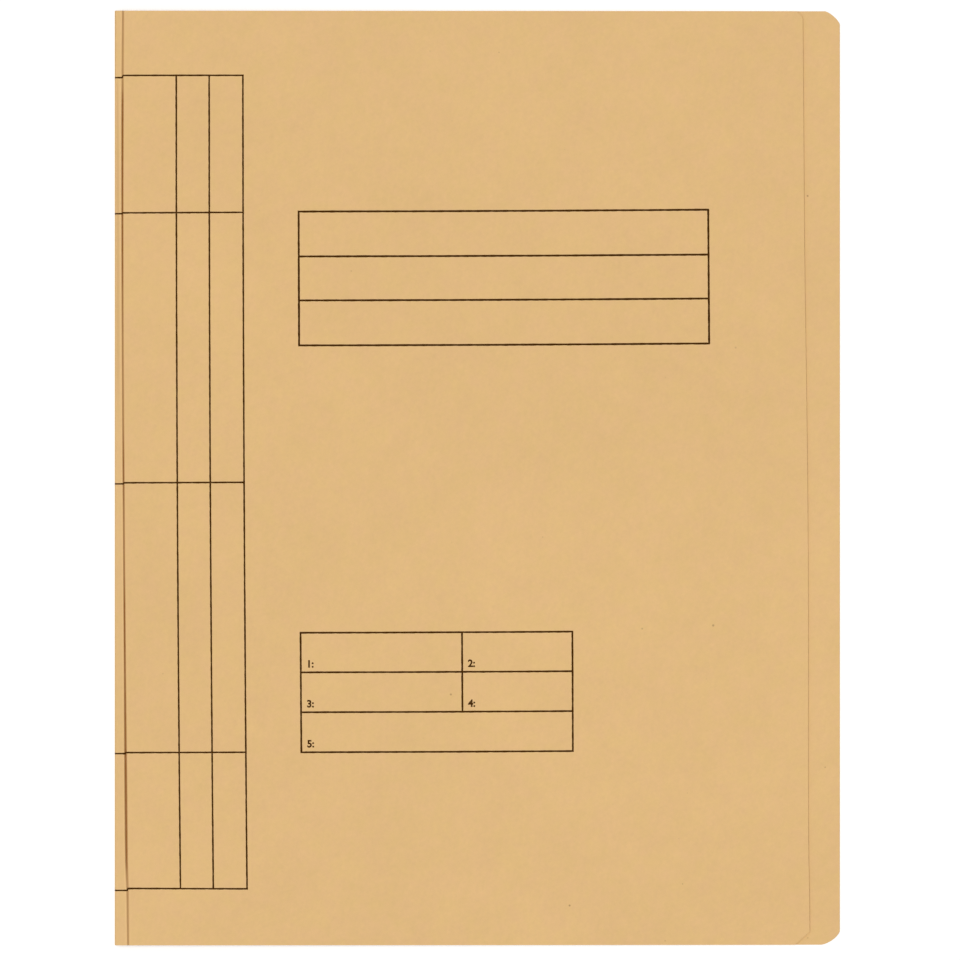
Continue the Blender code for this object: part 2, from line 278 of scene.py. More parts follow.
class CardFileSizes(bpy.types.PropertyGroup):
    """Sizes of the file that can be changed without leaving its solids."""

    front_width: length("Front Width", "Front cover from the score to its free edge", 0.2322)
    fold_radius: length("Fold Radius", "Bend of the card at the spine's two edges, to its middle", 0.45 * MM)
    score_width: length("Score Width", "Width of the groove pressed beside the spine", 1.0 * MM)
    score_depth: length("Score Depth", "Depth of the groove pressed beside the spine", 0.18 * MM)
    cover_bow: length("Cover Bow", "Rise of the front cover's middle above a straight line", 0.12 * MM)
    rule_width: length("Rule Width", "Width of the printed rules", 0.63 * MM)
    ink_height: length("Ink Height", "How far the print stands above the card", 0.01 * MM)
    numeral_height: length("Numeral Height", "Height of the small printed numerals", 2.4 * MM)
    bar_bead: length("Bar Bead", "Height of the bead pressed along the bar", 0.12 * MM)
    slider_groove: length("Slider Groove", "Depth of the grip grooves in each slider", 0.11 * MM)
    print_turn: bpy.props.FloatProperty(
        name="Print Turn",
        description="Turn of the printed layout against the file",
        default=math.radians(0.29),
        subtype="ANGLE",
    )


class CardFileColours(bpy.types.PropertyGroup):
    """Colours of the file."""

    card: colour("Card", "Manila card", (0.755, 0.496, 0.2125))
    patch: colour("Patches", "Cloudy patches in the card", (0.762, 0.486, 0.226))
    speck: colour("Specks", "Dark fibres in the card", (0.30, 0.17, 0.07))
    # Pressed card at the bottom of the score, which also paints the shade in the score and along the creases
    pressed: colour("Pressed Card", "Card at the bottom of the score", (0.220, 0.064, 0.001))
    # Paler card where folding rubbed it, which also paints the highlights beside the groove and the pale
    # layers of the cut edge
    rubbed: colour("Rubbed Card", "Card that folding has rubbed paler", (0.835, 0.535, 0.240))
    cut_edge: colour("Cut Edge", "Fibres at the cut edge of the card", (0.640, 0.400, 0.175))
    ink: colour("Ink", "Printed rules and numerals", (0.056, 0.020, 0.001))
    strip: colour("Strip", "Card strip of the fastener", (0.700, 0.455, 0.205))
    steel: colour("Steel", "Tinned sheet steel", (0.560, 0.560, 0.570))
    nickel: colour("Nickel", "Plated eyelets", (0.620, 0.600, 0.560))
    floor: colour("Floor", "Floor of the stage", (0.900, 0.900, 0.900))


def settings(context):
    """The sizes and the colours that the scene holds."""
    return context.scene.card_file_sizes, context.scene.card_file_colours


# Grids and meshes


def grid_faces(rows, columns, wrap_rows=False, wrap_columns=False):
    """Quads of a grid: each point, the next one in its row, the one after that row and the one below."""
    row, column = np.meshgrid(
        np.arange(rows if wrap_rows else rows - 1),
        np.arange(columns if wrap_columns else columns - 1),
        indexing="ij",
    )
    next_row = (row + 1) % rows
    next_column = (column + 1) % columns
    quads = (
        row * columns + column,
        row * columns + next_column,
        next_row * columns + next_column,
        next_row * columns + column,
    )
    return np.stack(quads, axis=-1).reshape(-1, 4)


def facing(points, faces, outward):
    """The faces, turned round if their areas add up to face away from the direction given.

    Without a direction the surface is closed, and they are turned round if they hold less than no volume.
    """
    first, second, third, fourth = (points[faces[:, corner]] for corner in range(4))
    if outward is None:
        side = np.sum(first * (np.cross(second, third) + np.cross(third, fourth)))
    else:
        side = np.cross(third - first, fourth - second).sum(axis=0) @ np.array(outward)
    return faces[:, ::-1] if side < 0 else faces


def surface(x, y, z, outward=None, wrap_rows=False, wrap_columns=False):
    """A grid: its points, from three arrays spread over its rows and columns, and its quads."""
    x, y, z = np.broadcast_arrays(x, y, z)
    points = np.stack([x, y, z], axis=-1).reshape(-1, 3)
    return points, facing(points, grid_faces(*x.shape, wrap_rows, wrap_columns), outward)


def gathered(surfaces):
    """Surfaces put together as one."""
    starts = np.cumsum([0] + [len(points) for points, _ in surfaces[:-1]])
    points = np.concatenate([points for points, _ in surfaces])
    faces = np.concatenate([faces + start for (_, faces), start in zip(surfaces, starts)])
    return points, faces


def joined(surfaces):
    """Surfaces put together as one, with the points that fall in one place merged."""
    points, faces = gathered(surfaces)
    key = np.round(points / (0.0001 * MM)).astype(np.int64)
    _, first, place = np.unique(key, axis=0, return_index=True, return_inverse=True)
    return points[first], place.reshape(-1)[faces]


def make_piece(name, shape, materials, values=None):
    """A smooth mesh object at the origin, its open rims marked sharp and its values kept at the points."""
    points, faces = shape
    mesh = bpy.data.meshes.new(name)
    mesh.from_pydata(points.tolist(), [], faces.tolist())
    mesh.shade_smooth()
    edge_of_corner = np.empty(len(mesh.loops), np.int32)
    mesh.loops.foreach_get("edge_index", edge_of_corner)
    uses = np.bincount(edge_of_corner, minlength=len(mesh.edges))
    sharp = mesh.attributes.new("sharp_edge", "BOOLEAN", "EDGE")
    sharp.data.foreach_set("value", uses == 1)
    for key, numbers in (values or {}).items():
        attribute = mesh.attributes.new(key, "FLOAT", "POINT")
        attribute.data.foreach_set("value", np.ravel(numbers).astype(np.float32))
    for material in materials:
        mesh.materials.append(material)
    piece = bpy.data.objects.new(name, mesh)
    bpy.context.scene.collection.objects.link(piece)
    return piece


def give_thickness(piece, thickness, side=0.0, rim_material=0, round_edge=0.0):
    """Solidify, about the middle or to one side, and a Bevel where the edge is rounded."""
    solid = piece.modifiers.new("Thickness", "SOLIDIFY")
    solid.thickness = thickness
    solid.offset = side
    solid.use_even_offset = True
    solid.material_offset_rim = rim_material
    if round_edge > 0:
        bevel = piece.modifiers.new("Rounded edge", "BEVEL")
        bevel.width = round_edge
        bevel.segments = 2
        bevel.limit_method = "ANGLE"
        bevel.angle_limit = math.radians(40)
        bevel.harden_normals = True


def make_card(name, shape, materials, pressed, rubbed, thickness=CARD):
    """A sheet of card about its middle surface, with the painted shade and painted highlights of its folds
    and score, partly pressed and rubbed card, and the cut edge all round.
    """
    piece = make_piece(name, shape, materials, {"pressed": pressed, "rubbed": rubbed})
    give_thickness(piece, thickness, rim_material=1)
    return piece


def make_print(name, shape, ink, height):
    """Ink from the middle of the card up to a height above its face."""
    piece = make_piece(name, shape, [ink])
    give_thickness(piece, CARD / 2 + height, side=1.0)
    return piece


def make_sheet(name, shape, metal, thickness, edge):
    """Sheet metal about its middle surface, with its edges rounded."""
    piece = make_piece(name, shape, [metal])
    give_thickness(piece, thickness, round_edge=edge)
    return piece


# The card's shape


def bell(share):
    """(1 - share^2)^2 inside -1 to 1, and nothing outside."""
    return np.clip(1 - share**2, 0, None) ** 2


def bells(y, stretches):
    """The sum of share * bell((height - middle) / reach) over the stretches."""
    return sum(share * bell((y - middle) / reach) for share, middle, reach in stretches)


def smooth_step(value, place, reach):
    """Nothing before a place and 1 after it: 0.5 + 0.5 * hyperbolic tangent of the distance / reach."""
    return 0.5 + 0.5 * np.tanh((value - place) / reach)


def rounded_corner(across, along, power):
    """How far the points of a corner lie from the panel's end and inside its free edge.

    Both follow one angle: along * (1 - sin(angle)^(2/power)), and across * (1 - cos(angle)^(2/power)).
    """
    angle = np.linspace(0, math.pi / 2, CORNER_STEPS)
    from_end = along - along * np.sin(angle) ** (2 / power)
    inside = across * (1 - np.abs(np.cos(angle)) ** (2 / power))
    return from_end, inside


def rounded_rows(foot, head, step):
    """Heights of the rows of a panel from foot to head, and how far its free edge draws in at each."""
    foot_up, foot_in = rounded_corner(*foot)
    head_down, head_in = rounded_corner(*head)
    straight = np.linspace(-HALF_HEIGHT + foot[1], HALF_HEIGHT - head[1], round(2 * HALF_HEIGHT / step))
    rows = np.concatenate([foot_up[::-1] - HALF_HEIGHT, straight[1:-1], HALF_HEIGHT - head_down])
    inset = np.concatenate([foot_in[::-1], np.zeros(len(straight) - 2), head_in])
    return rows, inset


def quarter_bend(radius, start_degrees, steps=10):
    """Points of a quarter circle about nothing, turning clockwise from the angle given."""
    angle = np.radians(start_degrees - np.linspace(0, 90, steps))
    return radius * np.cos(angle), radius * np.sin(angle)


def back_profile(sizes):
    """Section of the back sheet from the end of the back cover round its crease to the wall's middle."""
    radius = sizes.fold_radius
    bend_x, bend_z = quarter_bend(radius, 270)
    bend_z = BACK_Z + radius + bend_z
    wall_z = np.linspace(bend_z[-1], WALL_SEAM_Z, 5)[1:]
    return np.append(CREASE_X + radius + bend_x, np.full(4, CREASE_X)), np.append(bend_z, wall_z)


def spine_profile(sizes):
    """Section of the spine sheet from the wall's middle up and round its edge crease."""
    radius = sizes.fold_radius
    bend_x, bend_z = quarter_bend(radius, 180)
    bend_z = TOP_Z - radius + bend_z
    wall_z = np.linspace(WALL_SEAM_Z, bend_z[0], 5)[:-1]
    return np.append(np.full(4, CREASE_X), CREASE_X + radius + bend_x), np.append(wall_z, bend_z)


def crease_wear_and_shade(before, after):
    """Nothing before and after a crease's ten points, and half a sine wave over them."""
    return np.concatenate([np.zeros(before), np.sin(np.linspace(0, math.pi, 10)), np.zeros(after)])


def score_middle(y):
    """Where the groove's middle lies across the hinge line.

    An offset, plus a swing that grows as height^2.5 above the middle and height^4 below it, plus a jog near
    the foot.
    """
    share = np.asarray(y) / HALF_HEIGHT
    head = SCORE_HEAD_SWING * np.clip(share, 0, None) ** 2.5
    foot = SCORE_FOOT_SWING * np.clip(-share, 0, None) ** 4
    return SCORE_OFFSET + head + foot + SCORE_FOOT_JOG * smooth_step(-np.asarray(y), -JOG_Y, 3 * MM)


def score_tone(y):
    """How much painted shade, partly pressed card, the groove has at each height: pale beyond the table,
    darkest on four stretches between.
    """
    inside = smooth_step(-np.abs(y - BESIDE_TABLE_MIDDLE), -BESIDE_TABLE_REACH, 2 * MM)
    return np.clip(PALE_TONE + inside * (BESIDE_TABLE_TONE + bells(y, SCORE_SHADE_STRETCHES)), 0, 1)


def score_half_width(sizes, y):
    """Half the width of the groove, which widens by a bell around each of two stretches."""
    return sizes.score_width / 2 * (0.95 + bells(y, SCORE_WIDENING))


def across_score(x, y):
    """Distance from the hinge line in plan, measured square to it."""
    return (x - SCORE_PLACE[0]) * math.cos(SCORE_SKEW) + y * math.sin(SCORE_SKEW)


def plan_x(across, y):
    """The x at which a level line at height y of the plan lies that far across the hinge line."""
    return SCORE_PLACE[0] + (across - y * math.sin(SCORE_SKEW)) / math.cos(SCORE_SKEW)


def cover_z(sizes, x, y):
    """Middle of the card over a point of the plan.

    Level up to the hinge line, then a straight slope to the free edge, plus a bow of half a sine wave and
    minus the groove's bell.
    """
    across = across_score(x, y)
    share = np.clip(across / sizes.front_width, 0, 1)
    slope = (TOP_Z - FRONT_EDGE_Z) * share
    bow = sizes.cover_bow * np.sin(math.pi * share)
    groove = sizes.score_depth * bell((across - score_middle(y)) / score_half_width(sizes, y))
    return TOP_Z - slope + bow - groove


# Printed rules


def wander(along, seed, reach):
    """Three sine waves of 3, 7 and 41 mm added up, each shifted by the seed."""
    waves = np.array([3.1, 7.3, 41]) * MM
    shares = np.array([0.4, 0.35, 0.25])
    phase = seed * np.array([2.1, 3.7, 5.3])
    return reach * (np.sin(2 * math.pi * along[:, None] / waves + phase) @ shares)


def on_print(sizes, x, y):
    """A point of the printed layout, turned with the print.

    Then x grows by a share that falls off as the square of the height, and y sags by a parabola along
    the row.
    """
    turn = sizes.print_turn
    turned_x = x * math.cos(turn) - y * math.sin(turn)
    turned_y = x * math.sin(turn) + y * math.cos(turn)
    swell = PRINT_SWELL * (1 - (turned_y / PRINT_SWELL_REACH) ** 2)
    sag = PRINT_SAG * np.clip(1 - ((turned_x - PRINT_SAG_MIDDLE) / PRINT_SAG_REACH) ** 2, 0, None)
    return turned_x * (1 + swell), turned_y - sag


def left_of(path):
    """The direction square to a plane path at each of its points, to its left and one unit long."""
    step = np.gradient(path, axis=0)
    step /= np.linalg.norm(step, axis=1, keepdims=True)
    return np.stack([-step[:, 1], step[:, 0]], axis=1)


def ribbon(path, width, seed):
    """Both sides of a rule along a path of plan points.

    The path drifts a little, and half a width, thickened and thinned a little, goes to each side of it.
    """
    side = left_of(path)
    along = np.concatenate([[0], np.cumsum(np.linalg.norm(np.diff(path, axis=0), axis=1))])
    middle = path + wander(along, seed, RULE_DRIFT)[:, None] * side
    half = width / 2 * (1 + wander(along, seed + 7.3, RULE_UNEVENNESS))[:, None]
    sides = np.stack([middle - half * side, middle + half * side], axis=1)
    return sides[..., 0], sides[..., 1]


def straight_rule(sizes, start, end):
    """A straight path of the printed layout, in even steps."""
    start, end = np.array(start), np.array(end)
    steps = max(2, round(float(np.linalg.norm(end - start)) / RULE_STEP))
    path = start + (end - start) * np.linspace(0, 1, steps)[:, None]
    return np.stack(on_print(sizes, path[:, 0], path[:, 1]), axis=1)


def crossing_rule(sizes, row, start_y, end_y, strip_y):
    """A table row from the cover's seam over the groove, where it steps up to its height on the cover.

    The step is the smooth step of the distance from the groove's middle. Points lie closer as far as they
    have to follow the groove.
    """
    end_x, _ = on_print(sizes, TABLE_COLUMNS[-1] + sizes.rule_width / 2, row)
    middle = score_middle(strip_y)
    near = np.arange(-COVER_SEAM, middle + 1.5 * sizes.score_width, GROOVE_STEP)
    near_y = strip_y + (start_y - strip_y) * smooth_step(near, middle, 0.1 * MM)
    near_x = plan_x(near, near_y)
    share = np.linspace(0, 1, round((end_x - near_x[-1]) / RULE_STEP))[1:]
    far_x = near_x[-1] + (end_x - near_x[-1]) * share
    far_y = start_y + (end_y - start_y) * share
    return np.stack([np.concatenate([near_x, far_x]), np.concatenate([near_y, far_y])], axis=1)


def ribbons_on_cover(sizes, paths, weights, first_seed):
    """The rules as strips that lie in the middle of the front sheet, each with a weight of its own."""
    strips = []
    for number, (path, weight) in enumerate(zip(paths, weights)):
        x, y = ribbon(path, weight * sizes.rule_width, first_seed + number)
        strips.append(surface(x, y, cover_z(sizes, x, y), UP))
    return gathered(strips)


def ribbons_on_profile(sizes, across, up, outward):
    """Table rows that follow a section of the sheet, one strip at each height."""
    strips = []
    for number, y in enumerate(STRIP_ROWS):
        half = SPINE_WEIGHT / 2 * sizes.rule_width * (1 + 0.1 * math.sin(3.1 * number))
        strips.append(surface(across[:, None], np.array([y - half, y + half]), up[:, None], outward))
    return gathered(strips)


# Plates with holes


def rounded_box_distance(x, y, half_width, half_length, radius):
    """Signed distance from the edge of a rectangle with rounded corners, less than nothing inside."""
    over_x = np.abs(x) - (half_width - radius)
    over_y = np.abs(y) - (half_length - radius)
    outside = np.hypot(np.maximum(over_x, 0), np.maximum(over_y, 0))
    return outside + np.minimum(np.maximum(over_x, over_y), 0) - radius


def reach_of(angle, distance, far):
    """How far a ray at each angle runs before it meets an edge, found by halving the range 40 times."""
    near = np.zeros_like(angle)
    beyond = np.full_like(angle, far)
    for _ in range(40):
        middle = (near + beyond) / 2
        inside = distance(middle * np.cos(angle), middle * np.sin(angle)) < 0
        near = np.where(inside, middle, near)
        beyond = np.where(inside, beyond, middle)
    return near


def corner_angles(half_width, half_length, radius):
    """Directions from the middle of a box to points all round its four rounded corners."""
    turn = np.linspace(0, math.pi / 2, 11)
    up = half_length - radius + radius * np.sin(turn)
    corner = np.arctan2(up, half_width - radius + radius * np.cos(turn))
    return np.concatenate([corner, math.pi - corner, math.pi + corner, -corner])


def holed_end(edge, hole, bends, seam_x, seam_y):
    """One end of a plate, from its hole at y = PRONG_Y out to its edge and to a seam across the plate.

    Rings of points go from the hole's edge to the outer loop: hole + (outer - hole) * share^1.4. Their
    directions are evenly spread, with more at the bends given.
    """
    seam_angle = np.arctan2(seam_y - PRONG_Y, seam_x)
    first, last = seam_angle[-1], seam_angle[0] + 2 * math.pi
    bends = bends[(bends > first + 0.01) & (bends < last - 0.01)]
    free_angle = np.unique(np.round(np.concatenate([np.linspace(first, last, 56)[1:-1], bends]), 4))
    free_reach = reach_of(free_angle, lambda x, y: edge(x, y + PRONG_Y), 100 * MM)
    angle = np.concatenate([seam_angle, free_angle])
    outer_reach = np.concatenate([np.hypot(seam_x, seam_y - PRONG_Y), free_reach])
    inner_reach = reach_of(angle, hole, 20 * MM)
    share = np.linspace(0, 1, 9)[:, None] ** 1.4
    reach = inner_reach + (outer_reach - inner_reach) * share
    return reach * np.cos(angle), PRONG_Y + reach * np.sin(angle)


def holed_plate(half_width, half_length, radius, hole, hole_bends, seam_y, columns, height):
    """A long plate with two holes: a plain grid in the middle and a holed end on each side of it."""
    bends = np.concatenate([corner_angles(half_width, half_length - PRONG_Y, radius), hole_bends])

    def edge(x, y):
        """Signed distance from the plate's outline."""
        return rounded_box_distance(x, y, half_width, half_length, radius)

    seam_x = np.linspace(-half_width, half_width, columns)
    end_x, end_y = holed_end(edge, hole, bends, seam_x, seam_y)
    rows = np.linspace(-seam_y, seam_y, 2 * round(seam_y / (1.5 * MM)) + 1)
    middle_x, middle_y = np.meshgrid(seam_x, rows)
    grids = ((middle_x, middle_y, False), (end_x, end_y, True), (end_x, -end_y, True))
    return joined([surface(x, y, height(x, y), UP, wrap_columns=wrap) for x, y, wrap in grids])


# Node helpers


def node(tree, kind, sockets=None, **choices):
    """Adds a node with its choices, and gives each socket named a value or a link."""
    made = tree.nodes.new(kind)
    for name, value in choices.items():
        setattr(made, name, value)
    for name, value in (sockets or {}).items():
        if isinstance(value, bpy.types.NodeSocket):
            tree.links.new(value, made.inputs[name])
        else:
            made.inputs[name].default_value = value
    return made


def worked(tree, operation, first, second, clamp=False):
    """The output of a Math node."""
    sockets = {0: first, 1: second}
    return node(tree, "ShaderNodeMath", sockets, operation=operation, use_clamp=clamp).outputs[0]


def blended(tree, share, first, second, mode="MIX"):
    """The colour output of a Mix node."""
    sockets = {0: share, 6: first, 7: second}
    return node(tree, "ShaderNodeMix", sockets, data_type="RGBA", blend_type=mode).outputs[2]


def darkened(tree, tone, share):
    """A colour times a grey that varies over the surface."""
    grey = node(tree, "ShaderNodeCombineColor", {0: share, 1: share, 2: share}).outputs[0]
    return blended(tree, 1.0, tone, grey, "MULTIPLY")


def noise(tree, vector, scale, detail=2.0, roughness=0.5):
    """The value of a noise texture."""
    sockets = {"Vector": vector, "Scale": scale, "Detail": detail, "Roughness": roughness}
    return node(tree, "ShaderNodeTexNoise", sockets).outputs[0]


def between(tree, value, low, high, to_low=0.0, to_high=1.0):
    """A value spread from one range to another, held at its ends."""
    sockets = {"Value": value, "From Min": low, "From Max": high, "To Min": to_low, "To Max": to_high}
    return node(tree, "ShaderNodeMapRange", sockets, clamp=True).outputs[0]


def stretched(tree, vector, scale, degrees=0.0):
    """The vector turned about Z and then scaled along each axis."""
    turn = {"Vector": vector, "Rotation": (0, 0, math.radians(degrees))}
    turned = node(tree, "ShaderNodeMapping", turn).outputs[0]
    return node(tree, "ShaderNodeMapping", {"Vector": turned, "Scale": scale}).outputs[0]


def kept_value(tree, name):
    """A value that the mesh keeps at its points."""
    return node(tree, "ShaderNodeAttribute", attribute_name=name, attribute_type="GEOMETRY").outputs["Fac"]


def rgb(values):
    """A colour with full opacity."""
    return (*values, 1.0)


def feed(tree, target, **links):
    """Links outputs to the inputs of a node that they are named after, with spaces for underscores."""
    for name, output in links.items():
        tree.links.new(output, target.inputs[name.replace("_", " ")])


def bumped(tree, shader, height, distance):
    """Feeds a height to the shader as fine relief."""
    sockets = {"Height": height, "Distance": distance, "Strength": 1.0}
    feed(tree, shader, Normal=node(tree, "ShaderNodeBump", sockets).outputs[0])


def group_of(name, fill, defaults, outputs):
    """The node group of that name, made when first asked for: a vector and numbers in, and numbers out."""
    tree = bpy.data.node_groups.get(name)
    if tree is None:
        tree = bpy.data.node_groups.new(name, "ShaderNodeTree")
        tree.interface.new_socket(name="Vector", in_out="INPUT", socket_type="NodeSocketVector")
        for socket_name, default in defaults.items():
            made = tree.interface.new_socket(name=socket_name, in_out="INPUT", socket_type="NodeSocketFloat")
            made.default_value = default
        for socket_name in outputs:
            tree.interface.new_socket(name=socket_name, in_out="OUTPUT", socket_type="NodeSocketFloat")
        enter = tree.nodes.new("NodeGroupInput")
        fill(tree, enter.outputs, tree.nodes.new("NodeGroupOutput"))
    return tree


def placed_group(tree, group, place):
    """A node group in a material, with its vector linked."""
    placed = tree.nodes.new("ShaderNodeGroup")
    placed.node_tree = group
    feed(tree, placed, Vector=place)
    return placed


def material_of(name, fill, *values):
    """The material of that name, made when a piece first asks for it.

    Its nodes are laid by the function given, from its tree, its Principled shader, its Object coordinates and
    the values.
    """
    material = bpy.data.materials.get(name)
    if material is None:
        material = bpy.data.materials.new(name)
        material.use_nodes = True
        tree = material.node_tree
        place = node(tree, "ShaderNodeTexCoord").outputs["Object"]
        fill(tree, tree.nodes["Principled BSDF"], place, *values)
    return material


# Finishes


def fill_card_fibre(tree, given, leave):
    """Slow clouds of tone, patches of colour, short fibres and dark specks, and the height of the surface.

    The fibres are the mean of three noises stretched in three directions. A speck is the middle of a cell,
    where the cell's own size exceeds the distance from its point.
    """
    vector = given["Vector"]
    clouds = noise(tree, vector, given["Cloud Scale"], 7.0, 0.93)
    patches = noise(tree, vector, given["Patch Scale"], 3.0, 0.7)
    total = None
    for degrees in (12, 68, 131):
        turned = stretched(tree, vector, (1.0, 0.28, 1.0), degrees)
        layer = noise(tree, turned, given["Fibre Scale"], 5.0, 0.74)
        total = layer if total is None else worked(tree, "ADD", total, layer)
    fibres = worked(tree, "DIVIDE", total, 3.0)
    cell_sockets = {"Vector": vector, "Scale": given["Speck Scale"], "Randomness": 1.0}
    cells = node(tree, "ShaderNodeTexVoronoi", cell_sockets, feature="F1", voronoi_dimensions="3D").outputs
    chance = node(tree, "ShaderNodeSeparateColor", {"Color": cells["Color"]}).outputs
    radius = worked(tree, "MULTIPLY", given["Speck Size"], between(tree, chance[0], 0.3, 1.0, 0.2, 1.6))
    dot = between(tree, worked(tree, "SUBTRACT", radius, cells["Distance"]), 0.0, 0.02)
    strength = between(tree, chance[1], 0.2, 1.0, 0.1, 1.0)
    feed(
        tree,
        leave,
        Clouds=clouds,
        Patches=patches,
        Fibres=fibres,
        Specks=worked(tree, "MULTIPLY", dot, strength, clamp=True),
        Height=worked(tree, "ADD", fibres, worked(tree, "MULTIPLY", patches, 0.5)),
    )


def fill_rolled_grain(tree, given, leave):
    """Fine lines of rolled and drawn metal along Y, and faint smudges."""
    along = stretched(tree, given["Vector"], (1.0, 0.03, 1.0))
    lines = noise(tree, along, given["Line Scale"], 4.0, 0.65)
    smudges = noise(tree, given["Vector"], given["Smudge Scale"], 3.0, 0.55)
    feed(tree, leave, Lines=lines, Smudges=smudges)


def lay_card(tree, shader, place, colours, base):
    """Manila card: base colour, cloudy patches, fibres, specks, and at the folds and the score paler rubbed
    card with painted highlights, and painted shade with pressed card.
    """
    scales = {
        "Cloud Scale": 6.0,
        "Patch Scale": 150.0,
        "Fibre Scale": 900.0,
        "Speck Scale": 124.0,
        "Speck Size": 0.038,
    }
    masks = ("Clouds", "Patches", "Fibres", "Specks", "Height")
    group = group_of("Card Fibre", fill_card_fibre, scales, masks)
    fibre = placed_group(tree, group, place).outputs
    patches = between(tree, fibre["Patches"], 0.35, 0.65, 0.0, 1.0)
    tone = blended(tree, patches, rgb(base), rgb(colours.patch))
    clouds = between(tree, fibre["Clouds"], 0.3, 0.7, 0.957, 1.043)
    grain = between(tree, fibre["Fibres"], 0.3, 0.7, 0.95, 1.05)
    tone = darkened(tree, tone, worked(tree, "MULTIPLY", grain, clouds))
    tone = blended(tree, worked(tree, "MULTIPLY", fibre["Specks"], 0.7), tone, rgb(colours.speck))
    # Paler rubbed card, and painted highlights beside the groove
    tone = blended(tree, kept_value(tree, "rubbed"), tone, rgb(colours.rubbed))
    # Painted shade in the score and the creases, partly pressed card, made uneven by the fibres
    uneven = between(tree, fibre["Fibres"], 0.3, 0.7, 0.8, 1.1)
    pressed = worked(tree, "MULTIPLY", kept_value(tree, "pressed"), uneven, clamp=True)
    tone = blended(tree, pressed, tone, rgb(colours.pressed))
    feed(tree, shader, Base_Color=tone, Roughness=between(tree, fibre["Fibres"], 0.3, 0.7, 0.78, 0.92))
    shader.inputs["Specular IOR Level"].default_value = 0.25
    bumped(tree, shader, fibre["Height"], CARD_RELIEF)


def lay_cut_edge(tree, shader, place, colours):
    """The cut edge of the card, where its layers show as fine level lines."""
    layers = noise(tree, stretched(tree, place, (0.12, 0.12, 1.0)), 9000.0, 3.0, 0.6)
    fuzz = worked(tree, "MULTIPLY", noise(tree, place, 2500.0, 2.0, 0.6), 0.5)
    share = between(tree, worked(tree, "ADD", layers, fuzz), 0.5, 1.0, 0.0, 0.5)
    feed(tree, shader, Base_Color=blended(tree, share, rgb(colours.cut_edge), rgb(colours.rubbed)))
    shader.inputs["Roughness"].default_value = 0.95
    shader.inputs["Specular IOR Level"].default_value = 0.15
    bumped(tree, shader, layers, CARD_RELIEF)


def lay_ink(tree, shader, place, colours):
    """Dark ink, thinner in small spots where it lies on raised fibres."""
    fine = noise(tree, place, 3200.0, 3.0, 0.7)
    broad = noise(tree, place, 420.0, 2.0, 0.5)
    thin = worked(tree, "MULTIPLY", between(tree, fine, 0.55, 0.75), between(tree, broad, 0.4, 0.7, 0.0, 0.3))
    tone = blended(tree, thin, rgb(colours.ink), rgb(colours.card))
    feed(tree, shader, Base_Color=tone, Roughness=between(tree, fine, 0.3, 0.7, 0.75, 0.95))
    shader.inputs["Specular IOR Level"].default_value = 0.06
    bumped(tree, shader, fine, INK_RELIEF)


def lay_metal(tree, shader, place, base, roughness, line_scale):
    """Bright sheet metal with rolled lines, faint smudges and a roughness that follows the smudges."""
    scales = {"Line Scale": 9000.0, "Smudge Scale": 260.0}
    group = group_of("Rolled Grain", fill_rolled_grain, scales, ("Lines", "Smudges"))
    placed = placed_group(tree, group, place)
    placed.inputs["Line Scale"].default_value = line_scale
    lines, smudges = placed.outputs
    darker = tuple(0.78 * part for part in base)
    dulled = tuple(0.86 * part for part in base)
    tone = blended(tree, between(tree, lines, 0.3, 0.7), rgb(darker), rgb(base))
    tone = blended(tree, between(tree, smudges, 0.5, 0.75, 0.0, 0.6), tone, rgb(dulled))
    uneven = between(tree, smudges, 0.3, 0.7, roughness - 0.06, roughness + 0.1)
    feed(tree, shader, Base_Color=tone, Roughness=uneven)
    shader.inputs["Metallic"].default_value = 1.0
    bumped(tree, shader, lines, METAL_RELIEF)


def lay_floor(tree, shader, place, colours):
    """Pale matt floor that glows a little to the camera, so that it shows white where no shadow falls."""
    cloud = between(tree, noise(tree, place, 3.0), 0.3, 0.7, 0.985, 1.0)
    tone = darkened(tree, rgb(colours.floor), cloud)
    glow = worked(tree, "MULTIPLY", seen_share(tree), FLOOR_GLOW)
    feed(tree, shader, Base_Color=tone, Emission_Strength=glow)
    shader.inputs["Roughness"].default_value = 1.0
    shader.inputs["Specular IOR Level"].default_value = 0.0
    shader.inputs["Emission Color"].default_value = (1, 1, 1, 1)


def seen_share(tree):
    """1 for camera, glossy and transmission rays, and 0 for the light that falls on the object."""
    path = node(tree, "ShaderNodeLightPath").outputs
    seen = worked(tree, "MAXIMUM", path["Is Camera Ray"], path["Is Glossy Ray"])
    return worked(tree, "MAXIMUM", seen, path["Is Transmission Ray"])


def card_of(colours):
    """The card of the cover and its cut edge."""
    manila = material_of("manila_card", lay_card, colours, colours.card)
    return [manila, material_of("cut_card_edge", lay_cut_edge, colours)]


def steel_of(colours):
    """Bright tinned steel of the band, the tongues, the bar and the sliders."""
    return material_of("tinned_steel", lay_metal, tuple(colours.steel), 0.30, 9000.0)


# Transforms that pieces share


def blend_over_back_crease(piece):
    """Bakes the piece's transform into its mesh, for a piece at the crease between the back cover and the
    spine.
    """
    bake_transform(piece)


def blend_over_edge_crease(piece):
    """Bakes the piece's transform into its mesh, for a piece at the crease at the spine's upper edge."""
    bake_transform(piece)


def blend_over_score(piece):
    """Bakes the piece's transform into its mesh, for a piece from the cover's seam to the far side of the
    groove.
    """
    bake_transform(piece)


# Operators


